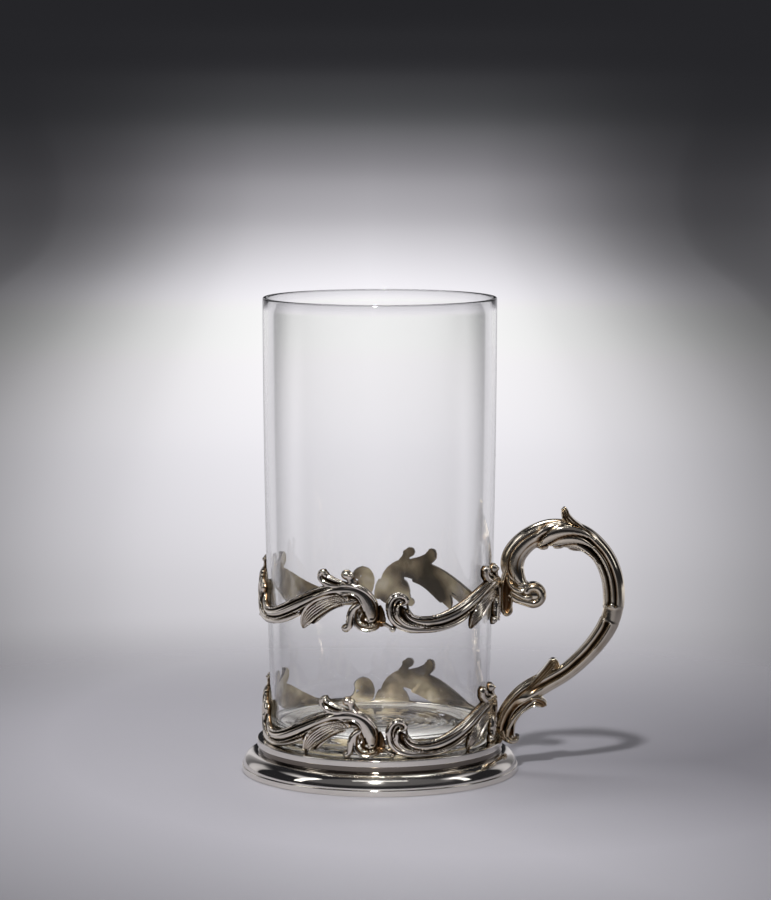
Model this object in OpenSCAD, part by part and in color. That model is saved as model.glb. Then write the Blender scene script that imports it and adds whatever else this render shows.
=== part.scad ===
// Tea glass in a cast silver holder: two openwork scroll bands, a moulded foot and a scroll handle.
// Millimetres, +Z up, origin on the axis of the glass where the foot meets the table, handle at +X.

/* [Glass] */
// Outside width of the glass at its mouth
glass_d = 70; // [62:1:78]
// Height of the glass
glass_h = 134.3; // [115:1:150]
// How much the radius narrows from the mouth to the bottom
glass_taper = 2.4; // [0.4:0.2:4]
// Thickness of the glass wall
glass_wall = 1.8; // [1.2:0.1:2.6]
// Thickness of the glass bottom
glass_bottom = 6; // [3:0.5:9]
// Radius of the heel, between wall and bottom
glass_heel = 2.4; // [1.4:0.2:3]

/* [Foot] */
// How far the rim strip stands out past the square ring above it
foot_spread = 4.6; // [3.4:0.1:8]
// Height of the foot, up to where the lower band stands
foot_h = 9.8; // [9:0.1:14]
// Height of the flat strip under the foot
rim_h = 1.95; // [1.2:0.05:2.4]
// Width of that strip, seen from below
rim_w = 2; // [1.6:0.1:2.6]
// Height of the square ring that carries the lower band
ring_h = 2.1; // [1.6:0.1:2.4]
// How far that ring stands out past the lower band
ring_lip = 1.2; // [0.6:0.1:1.8]
// Thickness of the spun sheet and of the floor plate
sheet = 1; // [0.8:0.1:1.2]

/* [Bands] */
// Height of an openwork band
band_h = 18.6; // [16:0.2:22]
// Height of the highest relief, from the back of a casting
relief = 2.3; // [1.8:0.1:3]
// Height from the foot of the lower band to the foot of the upper one
band_rise = 37.6; // [32:0.5:44]
// Width of the fluted stem at its widest
stem_w = 4.7; // [4:0.1:5.2]
// How much lower the upper band hangs on its low side than on its high one
band_lean = 3; // [0:0.1:4]
// Clearance between the glass and the castings
glass_gap = 0.35; // [0.2:0.05:0.6]

/* [Handle] */
// How far the handle reaches out from the upper band
handle_reach = 37.5; // [32:0.5:44]
// Depth of the handle bar, seen from the side
grip_w = 7; // [6:0.2:8]
// Thickness of the handle bar, seen from behind
grip_t = 6.6; // [5:0.2:8]

/* [Hidden] */
castings = [1, 2, 3, 4];

// Cuts run past the metal by this much
overrun = 1;
// Facets on the back of the castings, all round the glass
back_facets = 36;

// Places up the axis
floor_z = foot_h - ring_h + sheet;
upper_z = foot_h + band_rise;

// The glass narrows faster the nearer it is to its bottom
function glass_r(z) = glass_d/2 - glass_taper * pow(1 - (z - floor_z)/glass_h, 2);

// Back of each band, and the flat on it where the handle is soldered
pad_share = 0.8;
lower_r = glass_r(foot_h + band_h) + glass_gap;
upper_r = glass_r(upper_z + band_h) + glass_gap;
// The upper band hangs from the handle alone, and leans back and a little towards it
lean_angle = 70;
lower_pad = lower_r + relief*pad_share;
upper_pad = upper_r + relief*pad_share;

// Radii of the foot, from the outside inward
ring_r = lower_r + relief + ring_lip;
rim_r = ring_r + foot_spread;
neck_r = ring_r - sheet/2;
bore_r = lower_r - glass_gap;
ledge_w = 2.2;
plate_gap = 0.15;
flange_inset = 0.35;
// Broken edges of the rim strip and of the seat ring
bevel = 0.3;

// The handle's outline: across from the upper band, and up from the lower band's foot
rise_share = 1.77;
handle_rise = band_rise * rise_share;
function handle_x(share) = upper_pad + share*handle_reach;
function handle_z(share) = foot_h + share*handle_rise;

// Curve through rows of numbers, every span between two rows cut into equal steps
function span_point(a, b, c, d, t) =
  (2*b + (c - a)*t + (2*a - 5*b + 4*c - d)*t*t + (3*b - a - 3*c + d)*t*t*t) / 2;
function smooth(rows, steps) = let (last = len(rows) - 1) concat(
  [for (i = [0:last - 1]) for (j = [0:steps - 1])
    span_point(rows[max(i - 1, 0)], rows[i], rows[i + 1], rows[min(i + 2, last)], j/steps)],
  [rows[last]]);

// Direction of a flat path at one of its points, and the direction to its left
function heading(path, i) =
  let (step = path[min(i + 1, len(path) - 1)] - path[max(i - 1, 0)]) step/norm(step);
function left_of(h) = [-h[1], h[0]];

// Skin over rings that all have the same number of points, closed at both ends
module skin(rings) {
  m = len(rings[0]);
  last = len(rings) - 1;
  sides = [for (i = [0:last - 1]) for (j = [0:m - 1])
    let (a = i*m + j, b = i*m + (j + 1)%m) each [[a, b + m, b], [a, a + m, b + m]]];
  first_end = [for (j = [1:m - 2]) [0, j, j + 1]];
  last_end = [for (j = [1:m - 2]) [last*m, last*m + j + 1, last*m + j]];
  polyhedron([for (ring = rings) each ring], concat(sides, first_end, last_end), convexity = 10);
}

// Sections across a strip: place from one edge to the other, and height
fluted_shares = [[1, 0.5], [0.72, 0.9], [0.44, 0.62], [0.06, 1], [-0.52, 0.86], [-1, 0.4]];
paired_shares = [[1, 0.4], [0.5, 1], [0, 0.6], [-0.5, 1], [-1, 0.4]];
veined_shares = [[1, 0.4], [0.64, 1], [0.32, 0.62], [0, 0.98], [-0.32, 0.62], [-0.64, 0.9], [-1, 0.35]];
domed_shares = [[1, 0.4], [0.45, 1], [-0.45, 1], [-1, 0.4]];

// The scrolls of one casting. A row is the place along a quarter of the band, the place up it,
// the width as a share of the stem's, and the height as a share of the highest relief.
stem_shares = [
  [0.112, 0.468, 0.24, 0.55], [0.138, 0.53, 0.28, 0.7], [0.1, 0.596, 0.36, 0.85],
  [0.062, 0.55, 0.4, 0.9], [0.048, 0.4, 0.44, 0.92], [0.064, 0.235, 0.58, 0.92],
  [0.112, 0.132, 0.82, 0.9], [0.19, 0.116, 0.98, 0.88], [0.3, 0.165, 1, 0.87],
  [0.43, 0.273, 0.96, 0.87], [0.56, 0.437, 0.9, 0.86], [0.7, 0.598, 0.76, 0.83],
  [0.82, 0.67, 0.62, 0.84], [0.902, 0.645, 0.68, 0.9], [0.945, 0.538, 0.88, 0.95],
  [0.952, 0.38, 1.08, 1], [0.94, 0.225, 0.62, 0.8]];
tongue_shares = [
  [0.088, 0.43, 0.34, 0.9], [0.092, 0.32, 0.44, 1], [0.122, 0.205, 0.4, 1], [0.18, 0.14, 0.15, 0.85]];
big_curl_shares = [
  [0.81, 0.72, 0.28, 0.6], [0.735, 0.745, 0.38, 0.62], [0.684, 0.81, 0.42, 0.72],
  [0.668, 0.905, 0.4, 0.8], [0.684, 0.955, 0.34, 0.82], [0.702, 0.93, 0.28, 0.7]];
small_curl_shares = [[0.852, 0.74, 0.28, 0.7], [0.836, 0.86, 0.28, 0.8], [0.824, 0.925, 0.4, 0.86]];
branch_shares = [
  [0.905, 0.46, 0.26, 0.5], [0.846, 0.28, 0.26, 0.56], [0.834, 0.11, 0.28, 0.6], [0.816, 0.05, 0.36, 0.66]];
link_shares = [[-0.01, 0.16, 0.34, 0.5], [0.03, 0.135, 0.3, 0.6], [0.066, 0.065, 0.34, 0.7]];
crescent_shares = [
  [0.88, 0.37, 0.28, 0.5], [0.87, 0.2, 0.36, 0.62], [0.9, 0.085, 0.38, 0.7],
  [0.952, 0.065, 0.38, 0.7], [0.995, 0.15, 0.3, 0.6]];
leaf_lobe_shares = [
  [[0.74, 0.42, 0.36, 0.5], [0.68, 0.26, 0.4, 0.62], [0.636, 0.12, 0.12, 0.3]],
  [[0.7, 0.48, 0.3, 0.45], [0.62, 0.395, 0.4, 0.62], [0.54, 0.245, 0.13, 0.35]]];
leaf_fan_shares = [
  [0.87, 0.53, 0.4, 0.5], [0.77, 0.49, 0.66, 0.64], [0.675, 0.385, 0.9, 0.72], [0.605, 0.22, 0.76, 0.68],
  [0.566, 0.025, 0.16, 0.3]];
// Thin webs behind the scrolls, each from one round place to another
web_shares = [
  [[0.075, 0.45, 0.95, 0.32], [0.1, 0.27, 1.15, 0.32]],
  [[0.905, 0.42, 1.2, 0.34], [0.922, 0.2, 1.5, 0.34]],
  [[0.7, 0.47, 0.6, 0.34], [0.85, 0.58, 0.6, 0.34]],
  [[-0.01, 0.235, 1, 0.34], [0.055, 0.25, 0.8, 0.34]]];

// A place on a band: along its quarter, up it, and out from its back
function on_band(along, up, out, r) = [(r + out)*cos(90*along), (r + out)*sin(90*along), up];

// A strip of metal that follows rows of shares over the band, with a shaped section
module strip(rows, section, steps, r) {
  arc = (r + relief/2) * PI/2;
  path = smooth(rows, steps);
  flat = [for (p = path) [p[0]*arc, p[1]*band_h]];
  skin([for (i = [0:len(path) - 1])
    let (
      side = left_of(heading(flat, i)) * path[i][2]*stem_w/2,
      edges = [flat[i] + side, flat[i] - side])
    concat(
      [on_band(edges[0][0]/arc, edges[0][1], -overrun, r)],
      [for (s = section) let (p = flat[i] + side*s[0]) on_band(p[0]/arc, p[1], s[1]*path[i][3]*relief, r)],
      [on_band(edges[1][0]/arc, edges[1][1], -overrun, r)])]);
}

// A round stud with sloping sides, and a ridge of studs joined one to the next
module stud(row, r) {
  crown = 0.55;
  rotate([0, 0, 90*row[0]])
    translate([r - overrun, 0, row[1]*band_h])
      rotate([0, 90, 0])
        cylinder(h = overrun + row[3]*relief, d1 = row[2]*stem_w, d2 = row[2]*stem_w*crown, $fn = 5);
}
module ridge(rows, r) {
  for (i = [0:len(rows) - 2])
    hull() {
      stud(rows[i], r);
      stud(rows[i + 1], r);
    }
}

// One casting: a quarter of a band, ground flat at its ends, its foot and its back
module casting(r) {
  span = 2*(r + relief);
  intersection() {
    difference() {
      union() {
        strip(stem_shares, fluted_shares, 1, r);
        strip(tongue_shares, domed_shares, 1, r);
        strip(crescent_shares, paired_shares, 1, r);
        strip(big_curl_shares, paired_shares, 1, r);
        strip(leaf_fan_shares, veined_shares, 1, r);
        for (lobe = leaf_lobe_shares) strip(lobe, paired_shares, 1, r);
        for (row = [small_curl_shares, branch_shares, link_shares]) ridge(row, r);
        for (web = web_shares) ridge(web, r);
      }
      translate([0, 0, -overrun]) cylinder(r = r, h = band_h + 2*overrun, $fn = back_facets);
    }
    cube([span, span, 2*band_h]);
  }
}

// A casting in its place in a band, filed flat where the root of the handle comes. The band
// hangs lower by the lean on one side, and its back stays upright.
module placed_casting(i, r, z, pad, lean) {
  span = 2*(r + relief);
  slope = lean/(2*r);
  color("silver")
    difference() {
      multmatrix([
        [1, 0, 0, 0], [0, 1, 0, 0],
        [-slope*cos(lean_angle), -slope*sin(lean_angle), 1, z - lean/2]])
        rotate([0, 0, 90*(i - 2)]) casting(r);
      translate([pad, -span/2, z - band_h]) cube([span, span, 3*band_h]);
    }
}
module lower_scroll(i) { placed_casting(i, lower_r, foot_h, lower_pad, 0); }
module upper_scroll(i) { placed_casting(i, upper_r, upper_z, upper_pad, band_lean); }

// Flat strip that the whole holder stands on
module rim_strip() {
  color("silver")
    rotate_extrude($fn = 180)
      polygon([
        [rim_r - rim_w, 0], [rim_r - bevel, 0], [rim_r, bevel], [rim_r, rim_h - bevel],
        [rim_r - bevel, rim_h], [rim_r - rim_w, rim_h]]);
}

// Spun foot: a quarter round up from the rim strip, a groove, and a ledge for the floor plate
module foot() {
  groove_h = 1.7;
  top = foot_h - ring_h;
  flange_r = rim_r - flange_inset;
  round_w = flange_r - ring_r;
  round_h = top - rim_h - groove_h;
  steps = 8;
  outside = [for (i = [0:steps]) let (a = 90*i/steps)
    [ring_r + round_w*cos(a), rim_h + round_h*sin(a)]];
  inside = [for (i = [steps:-1:0]) let (a = 90*i/steps)
    [neck_r - sheet + (round_w - sheet/2)*cos(a), rim_h + (round_h - sheet)*sin(a)]];
  color("silver")
    rotate_extrude($fn = 180)
      polygon(concat(
        outside,
        [[neck_r, rim_h + round_h + sheet/2], [neck_r, top], [bore_r - ledge_w, top],
          [bore_r - ledge_w, top - sheet], [neck_r - sheet, top - sheet]],
        inside));
}

// Square ring on top of the foot, round the seat of the glass
module seat_ring() {
  top = foot_h;
  bottom = foot_h - ring_h;
  color("silver")
    rotate_extrude($fn = 180)
      polygon([
        [bore_r, bottom], [ring_r - bevel, bottom], [ring_r, bottom + bevel], [ring_r, top - bevel],
        [ring_r - bevel, top], [bore_r, top]]);
}

// Disc that the glass stands on, dropped in over the ledge
module floor_plate() {
  color("gainsboro")
    translate([0, 0, floor_z - sheet]) cylinder(r = bore_r - plate_gap, h = sheet, $fn = 180);
}

// Handle bar. A row is the place out and up, the depth as a share of the grip's, and the thickness.
bar_shares = [
  [0.25, 0.69, 0.26, 0.8], [0.18, 0.7, 0.5, 0.9], [0.12, 0.74, 0.86, 0.98], [0.093, 0.79, 1.03, 1],
  [0.128, 0.85, 1.03, 1],
  [0.243, 0.911, 0.98, 1], [0.419, 0.941, 1.1, 1.02], [0.637, 0.92, 1.02, 1.05], [0.797, 0.845, 0.95, 1],
  [0.883, 0.749, 0.97, 1], [0.909, 0.647, 0.97, 1], [0.888, 0.55, 0.9, 0.97], [0.813, 0.465, 0.86, 0.95],
  [0.683, 0.375, 0.8, 0.92], [0.525, 0.296, 0.76, 0.9], [0.36, 0.24, 0.78, 0.9], [0.205, 0.185, 0.78, 0.92],
  [0.093, 0.12, 0.7, 0.95], [0.04, 0.056, 0.68, 1], [0.036, -0.004, 0.7, 1]];
bar_steps = 2;
bar_rings = smooth(bar_shares, bar_steps);
joint_ring = 11*bar_steps;
// Section of the bar: place from the outer edge to the inner one, and half thickness
bar_section_shares = [[1, 0], [0.8, 0.66], [0.38, 1], [0.06, 0.8], [-0.3, 1], [-0.76, 0.72], [-1, 0]];

module bar(first, last) {
  flat = [for (q = bar_rings) [handle_x(q[0]), handle_z(q[1])]];
  far = len(bar_section_shares) - 2;
  around = concat(
    bar_section_shares,
    [for (j = [far:-1:1]) [bar_section_shares[j][0], -bar_section_shares[j][1]]]);
  skin([for (i = [first:last])
    let (side = left_of(heading(flat, i)) * bar_rings[i][2]*grip_w/2)
    [for (s = around) let (p = flat[i] + side*s[0]) [p[0], -s[1]*bar_rings[i][3]*grip_t/2, p[1]]]]);
}

// A leaf or tendril of the handle: oval slices across its path, joined one to the next
slice_h = 0.15;
module slice(row, h) {
  translate([handle_x(row[0]), 0, handle_z(row[1])])
    rotate([0, atan2(h[0], h[1]), 0])
      scale([row[2]*grip_w, row[3]*grip_t, 1]) cylinder(d = 1, h = slice_h, center = true, $fn = 6);
}
module tendril(rows, steps) {
  path = smooth(rows, steps);
  flat = [for (q = path) [handle_x(q[0]), handle_z(q[1])]];
  for (i = [0:len(path) - 2])
    hull() {
      slice(path[i], heading(flat, i));
      slice(path[i + 1], heading(flat, i + 1));
    }
}

root_leaf_shares = [
  [0.08, 0.76, 0.62, 0.9], [0.05, 0.705, 0.68, 1], [0.045, 0.65, 0.66, 1], [0.045, 0.605, 0.6, 0.95],
  [0.03, 0.572, 0.42, 0.8]];
root_curl_shares = [[0.02, 0.585, 0.3, 0.8], [0.045, 0.566, 0.26, 0.8], [0.075, 0.58, 0.24, 0.7]];
arm_shares = [[0.04, 0.682, 0.8, 0.97], [0.12, 0.662, 0.78, 0.95], [0.198, 0.612, 0.42, 0.93]];
thumb_leaf_shares = [
  [0.8, 0.88, 0.3, 0.75], [0.69, 0.94, 0.44, 0.95], [0.6, 0.98, 0.5, 1.05], [0.545, 1.012, 0.44, 0.85],
  [0.515, 1.045, 0.24, 0.45]];
inner_leaf_shares = [
  [0.72, 0.845, 0.24, 0.6], [0.6, 0.88, 0.36, 0.9], [0.46, 0.882, 0.42, 1], [0.36, 0.872, 0.36, 0.85],
  [0.31, 0.85, 0.2, 0.4]];
lower_leaf_shares = [
  [0.2, 0.23, 0.3, 0.8], [0.31, 0.278, 0.38, 0.95], [0.395, 0.32, 0.38, 0.9], [0.448, 0.35, 0.34, 0.75],
  [0.478, 0.333, 0.22, 0.5]];
spur_shares = [
  [0.09, 0.01, 0.3, 1], [0.095, 0.07, 0.36, 1.02], [0.147, 0.117, 0.42, 1], [0.224, 0.147, 0.44, 0.95],
  [0.3, 0.152, 0.42, 0.85], [0.352, 0.138, 0.34, 0.7], [0.373, 0.126, 0.18, 0.5]];
foot_curl_shares = [
  [0.01, 0.03, 0.5, 0.95], [0.045, 0.005, 0.4, 1], [0.095, -0.016, 0.26, 1], [0.14, -0.006, 0.22, 0.8],
  [0.148, 0.012, 0.16, 0.6]];

// Volute at the end of the bar: a tube bent round a thin web, with a stud for its eye
volute_share = [0.262, 0.65];
eye_share = [0.22, 0.642];
volute_r = 2.35;
volute_tube = 1.6;
eye_r = 1.25;
module volute() {
  start = 134;
  turn = 300;
  steps = 12;
  sides = 6;
  half = grip_t/2;
  translate([handle_x(volute_share[0]), 0, handle_z(volute_share[1])]) {
    skin([for (i = [0:steps]) let (a = start - turn*i/steps) [for (j = [0:sides - 1])
      let (b = -360*j/sides, out = volute_r + volute_tube*cos(b)) [out*cos(a), half*sin(b), out*sin(a)]]]);
    rotate([90, 0, 0]) cylinder(r = volute_r, h = half, center = true, $fn = steps);
  }
  translate([handle_x(eye_share[0]), 0, handle_z(eye_share[1])])
    rotate([90, 0, 0]) cylinder(r = eye_r, h = grip_t, center = true, $fn = 8);
}

// What the handle keeps clear of: the band behind it, and the ring under it
module band_side(pad, z) {
  span = 2*pad;
  translate([-span/2, -span/2, z]) cube([span/2 + pad, span, handle_rise]);
}

module handle_upper() {
  color("silver")
    difference() {
      union() {
        bar(0, joint_ring);
        tendril(root_leaf_shares, 1);
        tendril(root_curl_shares, 1);
        tendril(arm_shares, 1);
        tendril(thumb_leaf_shares, 1);
        tendril(inner_leaf_shares, 1);
        volute();
      }
      band_side(upper_pad, upper_z - band_h/2);
    }
}

module handle_lower() {
  color("silver")
    difference() {
      union() {
        bar(joint_ring, len(bar_rings) - 1);
        tendril(lower_leaf_shares, 1);
        tendril(spur_shares, 1);
        tendril(foot_curl_shares, 1);
      }
      band_side(lower_pad, -foot_h);
      translate([0, 0, -foot_h])
        cylinder(r = ring_r + plate_gap, h = 2*foot_h, $fn = back_facets);
    }
}

// Pressed tumbler with a heavy bottom, a rounded heel and a fire-polished lip
module tea_glass() {
  wall_steps = 8;
  arc_steps = 4;
  top = floor_z + glass_h;
  lip = glass_wall/2;
  hollow_r = glass_heel;
  punt = 0.75;
  punt_share = 0.82;
  heel_z = floor_z + glass_heel;
  heel_r = glass_r(heel_z) - glass_heel;
  well_z = floor_z + glass_bottom + hollow_r;
  well_r = glass_r(well_z) - glass_wall - hollow_r;
  ring_in = heel_r * punt_share;
  outside = [for (i = [0:wall_steps])
    let (z = heel_z + (top - lip - heel_z)*i/wall_steps) [glass_r(z), z]];
  inside = [for (i = [wall_steps:-1:0])
    let (z = well_z + (top - lip - well_z)*i/wall_steps) [glass_r(z) - glass_wall, z]];
  color([0.85, 0.92, 0.9, 0.4])
    rotate_extrude($fn = 180)
      polygon(concat(
        [[0, floor_z + punt], [ring_in, floor_z + punt], [ring_in + punt, floor_z]],
        [for (i = [0:arc_steps - 1]) let (a = -90 + 90*i/arc_steps)
          [heel_r + glass_heel*cos(a), heel_z + glass_heel*sin(a)]],
        outside,
        [for (i = [1:arc_steps - 1]) let (a = 180*i/arc_steps)
          [glass_r(top - lip) - lip + lip*cos(a), top - lip + lip*sin(a)]],
        inside,
        [for (i = [1:arc_steps]) let (a = -90*i/arc_steps)
          [well_r + hollow_r*cos(a), well_z + hollow_r*sin(a)]],
        [[0, well_z - hollow_r]]));
}

rim_strip();
foot();
seat_ring();
floor_plate();
for (i = castings) {
  lower_scroll(i);
  upper_scroll(i);
}
handle_upper();
handle_lower();
tea_glass();
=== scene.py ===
# Tea glass in a cast silver holder: the looks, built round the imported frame.
# Metres, +Z up, the axis of the glass at the origin, the handle at +X, the front at -Y.
import math

import bmesh
import bpy
import numpy as np
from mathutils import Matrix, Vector


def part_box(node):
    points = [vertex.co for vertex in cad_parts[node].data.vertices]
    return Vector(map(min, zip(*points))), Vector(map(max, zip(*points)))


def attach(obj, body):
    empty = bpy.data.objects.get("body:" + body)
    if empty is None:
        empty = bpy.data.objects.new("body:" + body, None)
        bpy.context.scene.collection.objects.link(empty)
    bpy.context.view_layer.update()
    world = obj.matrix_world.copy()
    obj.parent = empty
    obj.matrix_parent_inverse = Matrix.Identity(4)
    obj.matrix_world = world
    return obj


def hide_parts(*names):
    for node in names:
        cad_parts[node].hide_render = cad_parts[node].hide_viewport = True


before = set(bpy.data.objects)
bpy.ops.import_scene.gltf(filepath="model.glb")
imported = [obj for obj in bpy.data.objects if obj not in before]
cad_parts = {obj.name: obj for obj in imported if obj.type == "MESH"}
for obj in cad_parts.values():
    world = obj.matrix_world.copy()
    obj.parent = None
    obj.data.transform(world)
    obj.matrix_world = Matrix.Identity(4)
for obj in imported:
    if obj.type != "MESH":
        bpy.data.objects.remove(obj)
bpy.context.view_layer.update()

# Rim strip: flat silver wire, drawn, bent into a ring and soldered under the foot. The
# holder stands on it, and its upright face is polished.
MM = 0.001
spun_colour = "F0EBE2"
spun_roughness = 0.09
lathe_line = 0.35  # mm between the faint lines that the spinning tool leaves, drawn coarse
lathe_depth = 0.004
polish_patch = 14  # mm across a patch that the cloth rubbed more than the next
groove_brown = "4A3B2C"
rim_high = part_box("rim_strip")[1]
rim_r = rim_high.x / MM
rim_h = rim_high.z / MM
rim_w = 2
bevel = 0.3


def linear(code):
    """An sRGB hex colour as linear red, green, blue and alpha."""
    shares = [int(code[i : i + 2], 16) / 255 for i in (0, 2, 4)]
    return [s / 12.92 if s <= 0.04045 else ((s + 0.055) / 1.055) ** 2.4 for s in shares] + [1]


def add(tree, kind, settings=None, links=None, stops=(), points=()):
    """Adds a node, sets its inputs or properties, and links its inputs. Stops are the places and
    colours along a colour ramp, and points are the places and values along a curve."""
    node = tree.nodes.new(kind)
    for name, value in (settings or {}).items():
        if isinstance(name, int) or name in node.inputs:
            node.inputs[name].default_value = value
        else:
            setattr(node, name, value)
    for name, source in (links or {}).items():
        tree.links.new(source, node.inputs[name])
    if stops:
        elements = node.color_ramp.elements
        while len(elements) < len(stops):
            elements.new(0.5)
        for element, (at, colour) in zip(elements, stops):
            element.position = at
            element.color = linear(colour)
    if points:
        curve = node.mapping.curves[0].points
        for at, value in points[1:-1]:
            curve.new(at, value)
        curve[0].location = points[0]
        curve[-1].location = points[-1]
        node.mapping.update()
    return node


def begin(name):
    """A new material's node tree and its shader."""
    material = bpy.data.materials.new(name)
    material.use_nodes = True
    return material, material.node_tree, material.node_tree.nodes["Principled BSDF"]


def shell(rings, recess=0.0, cyclic=False):
    """A skin over closed rings of points in millimetres, with how deep in shade each point lies."""
    rings = np.asarray(rings, float)
    n, m = rings.shape[:2]
    i, j = np.meshgrid(np.arange(n if cyclic else n - 1), np.arange(m), indexing="ij")
    after, beside = (i + 1) % n * m, (j + 1) % m
    quads = np.stack([i * m + j, i * m + beside, after + beside, after + j], -1).reshape(-1, 4)
    faces = quads.tolist()
    if not cyclic:
        faces += [list(range(m)), list(range((n - 1) * m, n * m))]
    return rings.reshape(-1, 3), faces, [0] * len(faces), np.broadcast_to(recess, (n, m)).reshape(-1)


def piece(name, shells, materials, body, nodes, sharp=40):
    """One mesh object out of shells, riding on a body in place of its CAD nodes."""
    points, faces, slots, recess = [], [], [], []
    for part_points, part_faces, part_slots, part_recess in shells:
        faces += [[k + len(points) for k in face] for face in part_faces]
        points += part_points.tolist()
        slots += part_slots
        recess += part_recess.tolist()
    mesh = bpy.data.meshes.new(name)
    mesh.from_pydata([[c * MM for c in p] for p in points], [], faces)
    for material in materials:
        mesh.materials.append(material)
    mesh.polygons.foreach_set("material_index", slots)
    shade = mesh.attributes.new("recess", "FLOAT", "POINT")
    shade.data.foreach_set("value", recess)
    work = bmesh.new()
    work.from_mesh(mesh)
    bmesh.ops.remove_doubles(work, verts=work.verts, dist=1e-3 * MM)
    bmesh.ops.recalc_face_normals(work, faces=work.faces)
    work.to_mesh(mesh)
    work.free()
    mesh.shade_smooth()
    mesh.set_sharp_from_angle(angle=math.radians(sharp))
    made = bpy.data.objects.new(name, mesh)
    bpy.context.scene.collection.objects.link(made)
    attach(made, body)
    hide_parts(*nodes)


def turned(profile, steps=288):
    """The rings of a profile of radius and height, turned once round the axis."""
    angles = np.linspace(0, 2 * math.pi, steps, endpoint=False)[:, None]
    radius, height = np.array(profile, float).T
    return np.stack([radius * np.cos(angles), radius * np.sin(angles), height + 0 * angles], -1)


def arc(centre, size, start, end, steps):
    """Points along an elliptic arc, angles in degrees."""
    angles = np.radians(np.linspace(start, end, steps + 1))
    return [(centre[0] + size[0] * math.cos(a), centre[1] + size[1] * math.sin(a)) for a in angles]


# Spun silver: turned over a chuck and polished, so it mirrors the room with only faint
# lines round it, and goes brown where the cloth doesn't reach. A lamp's reflection is drawn
# out across the lines. In a colour mix, 0 is the share and 6 and 7 are the two colours. In a
# map range, 1 and 2 are the range that comes in, and 3 and 4 the range that goes out.
spun_silver, tree, shader = begin("spun_silver")
place = add(tree, "ShaderNodeTexCoord")
parts = add(tree, "ShaderNodeSeparateXYZ", links={0: place.outputs["Object"]})
flat_place = add(tree, "ShaderNodeCombineXYZ", links={0: parts.outputs[0], 1: parts.outputs[1]})
radius = add(tree, "ShaderNodeVectorMath", {"operation": "LENGTH"}, {0: flat_place.outputs[0]})
section_place = add(tree, "ShaderNodeCombineXYZ",
                    links={0: radius.outputs["Value"], 1: parts.outputs[2]})
lines = add(tree, "ShaderNodeTexNoise", {"Scale": 1 / (lathe_line * MM), "Detail": 2.0},
            {"Vector": section_place.outputs[0]})
clouds = add(tree, "ShaderNodeTexNoise", {"Scale": 1 / (polish_patch * MM), "Detail": 3.0},
             {"Vector": place.outputs["Object"]})
recess = add(tree, "ShaderNodeAttribute", {"attribute_name": "recess"})
bump = add(tree, "ShaderNodeBump", {"Strength": 0.25, "Distance": lathe_depth * MM},
           {"Height": lines.outputs[0]})
tint = add(tree, "ShaderNodeMix", {"data_type": "RGBA", 6: linear(spun_colour), 7: linear(groove_brown)},
           {0: recess.outputs["Fac"]})
haze = add(tree, "ShaderNodeMapRange",
           {1: 0.35, 2: 0.75, 3: spun_roughness - 0.03, 4: spun_roughness + 0.05}, {0: clouds.outputs[0]})
along = add(tree, "ShaderNodeTangent", {"direction_type": "RADIAL", "axis": "Z"})
shader.inputs["Metallic"].default_value = 1
shader.inputs["Anisotropic"].default_value = 0.8
shader.inputs["Anisotropic Rotation"].default_value = 0.25
tree.links.new(along.outputs[0], shader.inputs["Tangent"])
tree.links.new(tint.outputs[2], shader.inputs["Base Color"])
tree.links.new(haze.outputs[0], shader.inputs["Roughness"])
tree.links.new(bump.outputs[0], shader.inputs["Normal"])

rim_profile = [
    (rim_r - rim_w, 0), *arc((rim_r - bevel, bevel), (bevel, bevel), -90, 0, 5),
    *arc((rim_r - bevel, rim_h - bevel), (bevel, bevel), 0, 90, 5), (rim_r - rim_w, rim_h)]
piece("rim_strip_wire", [shell(turned(rim_profile), cyclic=True)], [spun_silver],
      "holder", ["rim_strip"])

# Foot: sheet silver spun to a quarter-round flange and turned in to a groove, with a ledge
# inside for the floor plate. The groove holds the brown that polishing leaves.
foot_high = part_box("foot")[1]
ring_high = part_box("seat_ring")[1]
flange_r = foot_high.x / MM
foot_top = foot_high.z / MM
ring_r = ring_high.x / MM
sheet = 1
neck_r = ring_r - sheet / 2
groove_h = 1.7
cove_w, cove_h = 0.35, 0.45
ledge_r = 31
round_w = flange_r - ring_r
round_h = foot_top - rim_h - groove_h
round_steps = 28

outside = arc((ring_r, rim_h), (round_w, round_h), 0, 90, round_steps)
inside = arc((neck_r - sheet, rim_h), (round_w - sheet / 2, round_h - sheet), 90, 0, round_steps)
cove = arc((neck_r + cove_w, rim_h + round_h + cove_h), (cove_w, cove_h), 270, 180, 6)
foot_profile = [
    *outside, *cove, (neck_r, foot_top), (ledge_r, foot_top), (ledge_r, foot_top - sheet),
    (neck_r - sheet, foot_top - sheet), *inside]
foot_shade = [0.0] * (round_steps - 1) + [0.25, 0.6] + [0.85] * len(cove) + [0.8, 0.2, 0.2, 0.3]
foot_shade += [0.35] * len(inside)
piece("foot_spinning", [shell(turned(foot_profile), np.array(foot_shade), cyclic=True)],
      [spun_silver], "holder", ["foot"])

# Seat ring: square silver wire soldered on top of the foot, the step that the lower band
# stands on.
ring_h = ring_high.z / MM
ring_w = 3.85
bore_r = ring_r - ring_w
ring_profile = [
    (bore_r, foot_top), *arc((ring_r - bevel, foot_top + bevel), (bevel, bevel), -90, 0, 5),
    *arc((ring_r - bevel, ring_h - bevel), (bevel, bevel), 0, 90, 5), (bore_r, ring_h)]
ring_shade = [0.3] * 3 + [0.0] * (len(ring_profile) - 4) + [0.2]
piece("seat_ring_wire", [shell(turned(ring_profile), np.array(ring_shade), cyclic=True)],
      [spun_silver], "holder", ["seat_ring"])

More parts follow.
